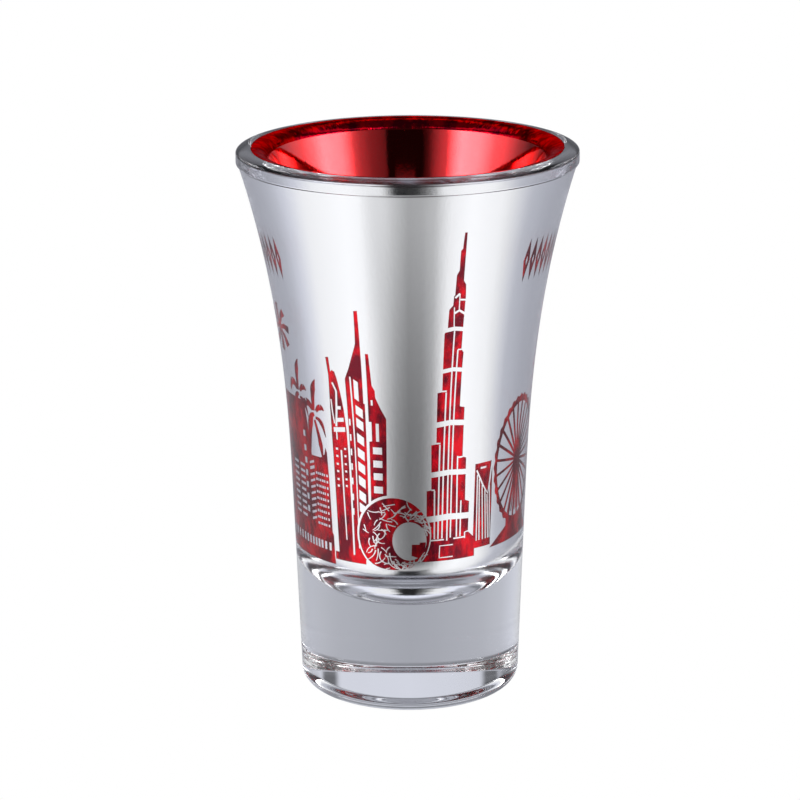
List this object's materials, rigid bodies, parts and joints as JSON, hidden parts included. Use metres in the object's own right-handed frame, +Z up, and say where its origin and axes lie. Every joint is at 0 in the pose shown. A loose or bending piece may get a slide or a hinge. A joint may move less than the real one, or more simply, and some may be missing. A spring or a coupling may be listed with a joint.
{
  "type": "shot glass",
  "caption": "Flared heavy-base shot glass with an engraved silver film and a red mirror lining.",
  "frame": {"origin": "centre of the foot, on the table plane", "axes": "+Z up along the glass's axis, -Y towards the front of the engraved picture"},
  "size_m": [0.0488, 0.0488, 0.08],
  "materials": {
    "clear_glass": "clear polished",
    "silver_mirror": "mirror",
    "red_lacquer": "mirror gloss"
  },
  "bodies": {
    "root": {"glass_body": "clear_glass", "silver_film": "silver_mirror", "red_lining": "red_lacquer"}
  },
  "joints": []
}
